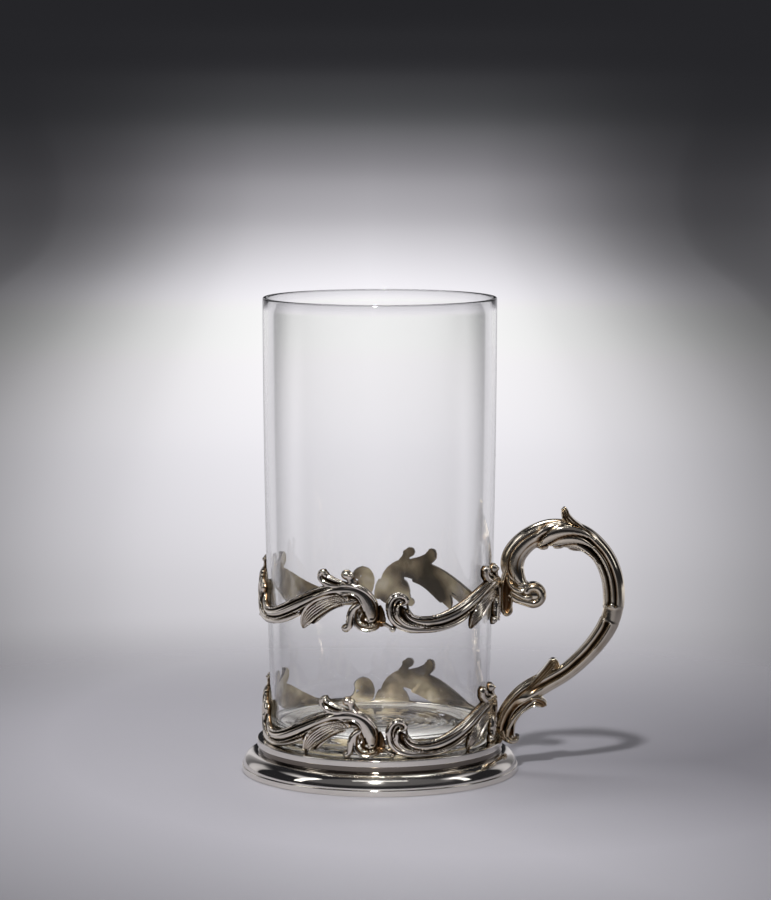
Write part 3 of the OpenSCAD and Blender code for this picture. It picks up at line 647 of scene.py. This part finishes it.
raised = [on_bar(rows, rib) for rows in (
    [(7.4, 66, 0.8, 0.3), (6.9, 68, 2.2, 0.8), (6.4, 78, 3.0, 1.15), (6.0, 98, 3.0, 1.1),
     (5.6, 120, 2.4, 0.9), (5.3, 140, 1.4, 0.6), (5.15, 150, 0.6, 0.2)],
    [(7.6, 100, 0.8, 0.3), (7.0, 106, 2.0, 0.8), (6.5, 120, 2.6, 1.15), (6.1, 140, 2.4, 1.15),
     (5.75, 158, 1.5, 0.8), (5.6, 165, 0.6, 0.3)],
    [(8.4, 138, 0.8, 0.3), (7.6, 140, 1.8, 0.7), (6.9, 148, 2.4, 1.0), (6.45, 160, 2.2, 1.1),
     (6.2, 172, 1.4, 0.7)],
    [(6.7, 40, 0.6, 0.2), (6.3, 48, 1.8, 0.6), (5.9, 62, 2.0, 0.7), (5.5, 80, 1.4, 0.5),
     (5.2, 92, 0.6, 0.2)],
    [(18.4, 150, 0.8, 0.3), (17.4, 150, 1.6, 0.7), (16.3, 152, 1.9, 0.9), (15.5, 156, 1.8, 0.9),
     (14.9, 162, 1.2, 0.6)],
    [(18.6, 180, 1.0, 0.3), (17.6, 180, 2.0, 0.9), (16.4, 180, 2.6, 1.2), (15.5, 180, 2.6, 1.3),
     (14.8, 180, 1.8, 1.0)],
    [(5.1, 180, 1.0, 0.5), (5.25, 180, 2.2, 1.3), (5.5, 180, 2.4, 1.5), (5.7, 180, 1.0, 0.6)],
    [(5.9, 180, 1.0, 0.6), (6.1, 180, 2.2, 1.6), (6.35, 180, 2.2, 1.5), (6.5, 180, 1.0, 0.8)],
    [(6.6, 180, 1.0, 0.8), (6.8, 180, 2.0, 1.5), (7.1, 180, 2.0, 1.3), (7.4, 180, 0.8, 0.4)],
    [(15.4, 30, 0.6, 0.2), (16.0, 34, 2.0, 0.8), (16.8, 42, 2.4, 1.0), (17.8, 60, 2.2, 0.9),
     (18.8, 76, 1.8, 0.7)])]
raised += [on_bar([(10.44, 96, 0.9, 0.35), (10.36, 118, 1.0, 0.3)], rib)]
bar_relief = spread(np.max(raised, axis=0) - cut * (np.max(raised, axis=0) < 0.3), 1)
# Tarnish and painted shade of the bar: the deeper a point of a flute lies under what is round it, the darker
# it is painted.
bar_shade = np.clip(sunk(bar_relief) / full_tarnish, 0, 1.1)


def stained(rings, shade):
    """A shell whose shade is deeper near the bands, where no cloth gets in."""
    return shell(rings, shade + root_stain * (1 - ramp(rings[..., 0], root_x, root_fade)))


def bar_skin(first, last):
    """The chased bar between two rows, the same on both sides."""
    keep = (skin_row[:, 0] > first - 0.04) & (skin_row[:, 0] <= last)
    turn = np.concatenate([skin_t, 2 * math.pi * bar_girth - skin_t[-2:0:-1]]) / bar_girth
    both = [np.concatenate([side, side[:, -2:0:-1]], 1)[keep] for side in (bar_relief, bar_shade)]
    depth = (bar[keep, 2:3] / 2 + both[0]) * np.cos(turn)
    thick = (bar[keep, 3:4] / 2 + both[0]) * np.sin(turn)
    rings = np.stack([bar[keep, :1] + bar_out[keep, :1] * depth, -thick,
                      bar[keep, 1:2] + bar_out[keep, 1:] * depth], -1)
    return stained(rings, both[1])


def limb(rows, section):
    """A free piece in the handle's plane: rows of x, z, depth and thickness in millimetres."""
    path = smooth(rows, 12)
    heading = np.gradient(path[:, :2], axis=0)
    heading /= np.linalg.norm(heading, axis=1)[:, None] + 1e-9
    across, up = smooth(section, 4).T
    sides = np.concatenate([across, across[-2:0:-1]]), np.concatenate([up, -up[-2:0:-1]])
    rings = np.stack([
        path[:, :1] - heading[:, 1:] * path[:, 2:3] / 2 * sides[0],
        -path[:, 3:4] / 2 * sides[1],
        path[:, 1:2] + heading[:, :1] * path[:, 2:3] / 2 * sides[0]], -1)
    # Painted shade with tarnish, in the dips of the section and towards its edges.
    return stained(rings, limb_stain * (1 - np.abs(sides[1])) * (np.abs(sides[0]) < 0.85))


oval = [(1, 0), (0.92, 0.45), (0.6, 0.85), (0, 1), (-0.6, 0.85), (-0.92, 0.45), (-1, 0)]
hollow = [
    (1, 0), (0.94, 0.6), (0.72, 1), (0.45, 0.8), (0.1, 0.62), (-0.3, 0.72), (-0.62, 1), (-0.92, 0.6),
    (-1, 0)]
ridged = [
    (1, 0), (0.94, 0.6), (0.72, 0.92), (0.48, 0.7), (0.2, 0.96), (-0.08, 0.72), (-0.36, 1), (-0.64, 0.74),
    (-0.84, 0.9), (-0.95, 0.5), (-1, 0)]
volute_centre = np.array([46.2, 53.1])
volute_r = 2.4
volute_tube = 3.3
volute_rows = [
    (volute_centre[0] + volute_r * math.cos(a), volute_centre[1] + volute_r * math.sin(a), volute_tube, 6.4)
    for a in np.radians(np.linspace(150, -105, 12))]
volute_rows = [
    (41.6, 56.0, 2.2, 6.2), (43.0, 55.9, 2.7, 6.3), *volute_rows, (43.2, 51.3, 2.7, 6.3),
    (41.0, 52.0, 2.6, 6.3), (38.8, 53.6, 2.6, 6.2)]
eye_arm = [(39.4, 54.6, 1.8, 6.6), (41.2, 53.6, 2.0, 6.8), (42.9, 52.8, 2.2, 7.0), (44.1, 52.5, 2.9, 7.2),
           (45.1, 52.5, 2.8, 7.1), (45.9, 52.6, 1.6, 6.5)]
volute_disc = [
    (43.6, 53.1, 1.5, 4.6), (44.6, 53.1, 4.0, 5.0), (46.2, 53.1, 4.6, 5.2), (47.8, 53.1, 4.0, 5.0),
    (48.8, 53.1, 1.5, 4.6)]
collars = [
    [(38.3, 59.6, 1.2, 6.4), (38.7, 57.4, 1.9, 6.9), (39.9, 55.6, 2.3, 7.2), (41.7, 54.7, 2.4, 7.4),
     (43.2, 54.9, 2.2, 7.3), (44.2, 55.8, 1.3, 6.9)],
    [(40.3, 60.0, 0.8, 6.6), (40.6, 58.3, 1.3, 6.9), (41.7, 56.9, 1.6, 7.2), (43.2, 56.7, 1.3, 7.0),
     (44.0, 57.2, 0.6, 6.6)]]
upper_root = [(39.5, 60.5, 4.6, 6.2), (38.3, 56.8, 4.4, 6.6), (38.1, 53.0, 4.4, 6.6), (38.1, 50.0, 3.8, 6.2),
              (37.6, 47.9, 2.4, 5.2)]
root_curl = [(37.0, 48.9, 2.0, 5.2), (38.1, 47.5, 1.9, 5.2), (39.3, 48.2, 1.6, 4.6), (39.2, 50.2, 1.4, 4.6),
             (38.6, 52.2, 1.0, 4.6)]
crown_leaf = [(64.6, 70.9, 0.8, 5.0), (62.0, 72.5, 1.7, 5.8), (59.7, 73.8, 2.5, 6.2), (57.7, 75.0, 3.0, 6.0),
              (56.4, 76.3, 3.0, 5.4), (55.8, 77.4, 2.7, 4.8), (55.6, 78.3, 2.4, 4.2), (55.3, 79.0, 2.0, 3.4),
              (54.9, 79.4, 1.3, 2.4)]
upper_shells = [bar_skin(0, joint_row)]
upper_shells += [limb(rows, oval) for rows in (volute_rows, volute_disc, eye_arm, root_curl, *collars)]
upper_shells += [limb(upper_root, hollow), limb(crown_leaf, ridged)]
piece("handle_upper_casting", upper_shells, [handle_silver, pickled_back], "holder", ["handle_upper"],
      sharp=50)

leaf_tip = [(43.2, 23.0, 1.2, 4.8), (45.8, 25.4, 1.9, 5.3), (48.3, 27.9, 2.4, 5.5), (50.3, 30.1, 2.5, 5.3),
            (51.5, 31.6, 2.6, 5.0), (52.2, 32.6, 2.4, 4.6), (52.9, 32.5, 2.2, 4.4), (53.3, 31.6, 2.0, 4.2),
            (53.1, 30.6, 1.5, 3.8)]
spur = [(39.6, 10.5, 2.2, 6.4), (39.9, 14.5, 2.9, 6.6), (41.7, 17.7, 3.4, 6.6), (44.4, 19.8, 3.6, 6.4),
        (46.6, 20.7, 3.5, 6.2), (48.1, 20.5, 3.5, 5.8), (49.1, 20.0, 3.2, 5.2), (49.6, 19.4, 2.4, 4.4),
        (49.8, 19.0, 1.4, 3.0)]
foot_curl = [(37.2, 12.0, 3.6, 6.4), (38.0, 10.0, 3.2, 6.6), (39.8, 8.7, 2.2, 6.6), (41.3, 9.0, 1.8, 5.6),
             (41.6, 10.2, 1.3, 4.4)]
lower_shells = [
    bar_skin(joint_row, len(bar_rows) - 1), limb(leaf_tip, ridged), limb(spur, hollow),
    limb(foot_curl, oval)]
piece("handle_lower_casting", lower_shells, [handle_silver, pickled_back], "holder", ["handle_lower"],
      sharp=50)

# Tea glass: pressed in clear, faintly green glass with a heavy bottom and a fire-polished
# lip. It stands loose on the plate.
glass_low, glass_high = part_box("tea_glass")
mouth_r, lip_z, floor_z = glass_high.x / MM, glass_high.z / MM, glass_low.z / MM
taper, wall, bottom, heel = 2.4, 1.1, 6, 2.4
punt, punt_share = 0.75, 0.82  # mm that the bottom is hollowed underneath, and how far out


def glass_r(z):
    return mouth_r - taper * (1 - (z - floor_z) / (lip_z - floor_z)) ** 2


def wave(r):
    """The rings that the plunger leaves in the floor of the glass."""
    return 0.07 * math.sin(r * 2.1) + 0.05 * math.sin(r * 0.83 + 1)


heel_z = floor_z + heel
heel_r = glass_r(heel_z) - heel
well_z = floor_z + bottom + heel
well_r = glass_r(well_z) - wall - heel
lip = wall / 2
outer_z = np.linspace(heel_z, lip_z - lip, 40)
inner_z = np.linspace(lip_z - lip, well_z, 40)
glass_profile = [
    (0, floor_z + punt), (heel_r * punt_share, floor_z + punt), (heel_r * punt_share + punt, floor_z),
    *arc((heel_r, heel_z), (heel, heel), -90, 0, 10)[:-1], *[(glass_r(z), z) for z in outer_z],
    *arc((glass_r(lip_z - lip) - lip, lip_z - lip), (lip, lip), 0, 180, 12)[1:-1],
    *[(glass_r(z) - wall, z) for z in inner_z], *arc((well_r, well_z), (heel, heel), 0, -90, 10)[1:],
    *[(r, well_z - heel + wave(r)) for r in np.arange(well_r - 1, 0, -0.4)], (0, well_z - heel)]

# Clear glass: it bends the room into dark lines at its edges, and is faintly green where it is
# thick. Shadow rays and the rays off matt faces go straight through it, so that each lamp lights
# the plate once.
clear_glass, tree, shader = begin("clear_glass")
shader.inputs["Base Color"].default_value = linear("FFFFFF")
shader.inputs["Roughness"].default_value = 0.0
shader.inputs["IOR"].default_value = 1.5
shader.inputs["Specular IOR Level"].default_value = 0.3
shader.inputs["Transmission Weight"].default_value = 1
ray = add(tree, "ShaderNodeLightPath")
clear = add(tree, "ShaderNodeBsdfTransparent", {"Color": linear("FAFAFA")})
straight = add(tree, "ShaderNodeMath", {"operation": "MAXIMUM"},
               {0: ray.outputs["Is Shadow Ray"], 1: ray.outputs["Is Diffuse Ray"]})
both = add(tree, "ShaderNodeMixShader",
           links={0: straight.outputs[0], 1: shader.outputs[0], 2: clear.outputs[0]})
depths = add(tree, "ShaderNodeVolumeAbsorption", {"Color": linear("E2E4DF"), "Density": 1.2})
output = tree.nodes["Material Output"]
tree.links.new(both.outputs[0], output.inputs["Surface"])
tree.links.new(depths.outputs[0], output.inputs["Volume"])
piece("tea_glass_pressing", [shell(turned(glass_profile), cyclic=True)], [clear_glass], "glass",
      ["tea_glass"], sharp=50)

# Studio: a pale floor that fades into a plain sweep, bright low down and dark above, one
# small key lamp in front and large soft lamps round it.
floor_half = 3
floor_mesh = bpy.data.meshes.new("floor")
floor_mesh.from_pydata(
    [(x * floor_half, y * floor_half, 0) for x, y in ((-1, -1), (1, -1), (1, 1), (-1, 1))], [],
    [(0, 1, 2, 3)])
floor = bpy.data.objects.new("floor", floor_mesh)
bpy.context.scene.collection.objects.link(floor)

# Pale floor: matt paint, so it shows no more of the foot than its soft shadow. Painted shade
# makes its colour darker to the right, where less light falls, and far from the object, and it
# fades out into the sweep.
near_fade, far_fade = 0.2, 0.4
pale_floor, tree, shader = begin("pale_floor")
floor_mesh.materials.append(pale_floor)
shader.inputs["Roughness"].default_value = 0.6
place = add(tree, "ShaderNodeTexCoord").outputs["Object"]
parts = add(tree, "ShaderNodeSeparateXYZ", links={0: place})
# Painted shade: the colour goes from the pale grey to the darker one towards the right of the glass, most of
# all level with it.
abreast = add(tree, "ShaderNodeMath", {"operation": "SUBTRACT", 1: 0.01}, {0: parts.outputs[1]})
abreast = add(tree, "ShaderNodeMath", {"operation": "ABSOLUTE"}, {0: abreast.outputs[0]})
right = add(tree, "ShaderNodeMath", {"operation": "MULTIPLY_ADD", 1: -0.7},
            {0: abreast.outputs[0], 2: parts.outputs[0]})
shade = add(tree, "ShaderNodeMapRange", {1: -0.04, 2: 0.1, 3: 0.0, 4: 1.0}, {0: right.outputs[0]})
paint = add(tree, "ShaderNodeMix", {"data_type": "RGBA", 6: linear("ABA9B0"), 7: linear("76747B")},
            {0: shade.outputs[0]})
# Painted shade: away from a point just right of and behind the glass, the colour is darkened by up to 60 per
# cent towards black.
corner = add(tree, "ShaderNodeVectorMath", {"operation": "SUBTRACT", 1: (0.03, 0.06, 0)}, {0: place})
corner = add(tree, "ShaderNodeVectorMath", {"operation": "MULTIPLY", 1: (1.3, 1, 0)},
             {0: corner.outputs[0]})
corner = add(tree, "ShaderNodeVectorMath", {"operation": "LENGTH"}, {0: corner.outputs[0]})
corner = add(tree, "ShaderNodeMapRange", {1: 0.175, 2: 0.3, 3: 0.0, 4: 0.6}, {0: corner.outputs["Value"]})
paint = add(tree, "ShaderNodeMix", {"data_type": "RGBA", 7: (0, 0, 0, 1)},
            {0: corner.outputs[0], 6: paint.outputs[2]})
tree.links.new(paint.outputs[2], shader.inputs["Base Color"])
distance = add(tree, "ShaderNodeVectorMath", {"operation": "DISTANCE", 1: (0, -0.1, 0)}, {0: place})
fade = add(tree, "ShaderNodeMapRange",
           {"interpolation_type": "SMOOTHSTEP", 1: near_fade, 2: far_fade, 3: 0.0, 4: 1.0},
           {0: distance.outputs["Value"]})
clear = add(tree, "ShaderNodeBsdfTransparent")
both = add(tree, "ShaderNodeMixShader",
           links={0: fade.outputs[0], 1: shader.outputs[0], 2: clear.outputs[0]})
tree.links.new(both.outputs[0], tree.nodes["Material Output"].inputs["Surface"])

# The sweep: pale below the horizon and dark above it, with a pool of light straight behind the
# object, and the half of the room in front left dark. Angles are in radians from straight behind.
pool_scale = 1.24
world = bpy.data.worlds.new("studio")
bpy.context.scene.world = world
world.use_nodes = True
tree = world.node_tree
way = add(tree, "ShaderNodeTexCoord")
parts = add(tree, "ShaderNodeSeparateXYZ", links={0: way.outputs["Generated"]})
height = add(tree, "ShaderNodeMapRange", {1: -0.2, 2: 0.05}, {0: parts.outputs[2]})
sweep = add(tree, "ShaderNodeValToRGB", links={0: height.outputs[0]}, stops=[
    (0.0, "C2C0C5"), (0.2, "DDDBE0"), (0.34, "F2F0F5"), (0.44, "FEFCFF"), (0.52, "FCFAFF"), (0.6, "C4C2C7"),
    (0.66, "98969B"), (0.72, "5E5E61"), (0.78, "37373A"), (0.83, "29292C"), (0.88, "242427")])
sweep.color_ramp.interpolation = "CARDINAL"
aside = add(tree, "ShaderNodeMath", {"operation": "ARCTAN2"}, {0: parts.outputs[0], 1: parts.outputs[1]})
aside = add(tree, "ShaderNodeMath", {"operation": "ADD", 1: 0.003}, {0: aside.outputs[0]})
aside = add(tree, "ShaderNodeMath", {"operation": "ABSOLUTE"}, {0: aside.outputs[0]})
narrow = add(tree, "ShaderNodeFloatCurve", links={"Value": height.outputs[0]}, points=[
    (0.0, 0.5), (0.168, 0.5), (0.284, 0.53), (0.4, 0.61), (0.518, 0.8), (0.634, 1.0), (0.728, 0.95),
    (0.863, 0.88), (1.0, 0.88)])
across = add(tree, "ShaderNodeMath", {"operation": "MULTIPLY"}, {0: narrow.outputs[0], 1: aside.outputs[0]})
across = add(tree, "ShaderNodeMath", {"operation": "MULTIPLY", 1: pool_scale}, {0: across.outputs[0]})
pool = add(tree, "ShaderNodeFloatCurve", links={"Value": across.outputs[0]}, points=[
    (0.0, 1.0), (0.03, 0.92), (0.052, 0.72), (0.076, 0.41), (0.093, 0.235), (0.109, 0.145), (0.125, 0.09),
    (0.15, 0.12), (0.2, 0.4), (0.28, 0.75), (0.5, 0.8), (1.0, 0.8)])
front = add(tree, "ShaderNodeMapRange",
            {"interpolation_type": "SMOOTHSTEP", 1: 1.3, 2: 1.8, 3: 0.0, 4: 0.97}, {0: aside.outputs[0]})
gone = add(tree, "ShaderNodeMath", {"operation": "SUBTRACT", 0: 1.0}, {1: pool.outputs[0]})
gone = add(tree, "ShaderNodeMath", {"operation": "MAXIMUM"}, {0: gone.outputs[0], 1: front.outputs[0]})
dimmed = add(tree, "ShaderNodeMix", {"data_type": "RGBA", 7: linear("252528")},
             {0: gone.outputs[0], 6: sweep.outputs[0]})

# Screens: a white one on each side, just outside the picture, which the edges of the glass and
# the silver mirror, and a grey canopy overhead, behind the camera.
beside = add(tree, "ShaderNodeFloatCurve", links={"Value": aside.outputs[0]}, points=[
    (0.0, 0.0), (0.118, 0.0), (0.135, 0.5), (0.25, 0.75), (0.31, 0.45), (0.42, 0.25), (0.58, 0.15),
    (0.68, 0.6), (0.87, 0.66), (1.0, 0.0)])
above = add(tree, "ShaderNodeMapRange", {1: -0.2, 2: 0.8}, {0: parts.outputs[2]})
tall = add(tree, "ShaderNodeFloatCurve", links={"Value": above.outputs[0]}, points=[
    (0.0, 1.0), (0.5, 1.0), (0.65, 0.8), (0.8, 0.0), (1.0, 0.0)])
screen = add(tree, "ShaderNodeMath", {"operation": "MULTIPLY"}, {0: beside.outputs[0], 1: tall.outputs[0]})
screened = add(tree, "ShaderNodeMix", {"data_type": "RGBA", 7: linear("E6E4E9")},
               {0: screen.outputs[0], 6: dimmed.outputs[2]})
overhead = add(tree, "ShaderNodeMapRange",
               {"interpolation_type": "SMOOTHSTEP", 1: 0.35, 2: 0.5, 3: 0.0, 4: 1.0}, {0: parts.outputs[2]})
facing = add(tree, "ShaderNodeMapRange",
             {"interpolation_type": "SMOOTHSTEP", 1: 1.85, 2: 2.0, 3: 0.0, 4: 1.0}, {0: aside.outputs[0]})
canopy = add(tree, "ShaderNodeMath", {"operation": "MULTIPLY"},
             {0: overhead.outputs[0], 1: facing.outputs[0]})
lit = add(tree, "ShaderNodeMix", {"data_type": "RGBA", 7: linear("5C5B5E")},
          {0: canopy.outputs[0], 6: screened.outputs[2]})
tree.links.new(lit.outputs[2], tree.nodes["Background"].inputs["Color"])

# Lamps: name, the way they stand from the glass, how far off, width and height in metres, watts.
lamps = [
    ("key", (-0.06, -0.61, 0.81), 0.9, 0.06, 0.07, 7.0),
    ("front_strip", (0.0, -0.4, 0.9), 1.0, 0.6, 0.04, 0.3),
    ("left_bank", (-0.95, -0.3, 0.6), 1.0, 0.14, 0.7, 0.6),
    ("right_bank", (0.95, -0.2, 0.5), 1.0, 0.12, 0.6, 0.35),
    ("top_bank", (0.0, 0.45, 0.9), 1.0, 0.7, 0.3, 3.3)]
for name, way, far, wide, high, watts in lamps:
    light = bpy.data.lights.new(name, "AREA")
    light.shape = "RECTANGLE"
    light.size, light.size_y = wide, high
    light.energy = watts
    lamp = bpy.data.objects.new(name, light)
    bpy.context.scene.collection.objects.link(lamp)
    direction = np.array(way) / np.linalg.norm(way)
    aim = np.array([0, 0, 0.06])
    lamp.location = aim + direction * far
    lamp.rotation_mode = "QUATERNION"
    lamp.rotation_quaternion = Vector(-direction).to_track_quat("-Z", "Y")

# Camera: where the photograph was taken from, a metre away and a little above the rim,
# through a long lens.
lens_data = bpy.data.cameras.new("camera")
lens_data.sensor_width = 36
lens_data.lens = 136.594
lens_data.shift_x = 0.0063
camera = bpy.data.objects.new("camera", lens_data)
bpy.context.scene.collection.objects.link(camera)
camera.location = (0, -1.0175, 0.2141)
camera.rotation_euler = (math.pi / 2 - 0.1146, 0, 0)
bpy.context.scene.camera = camera
bpy.context.scene.view_settings.view_transform = "Standard"
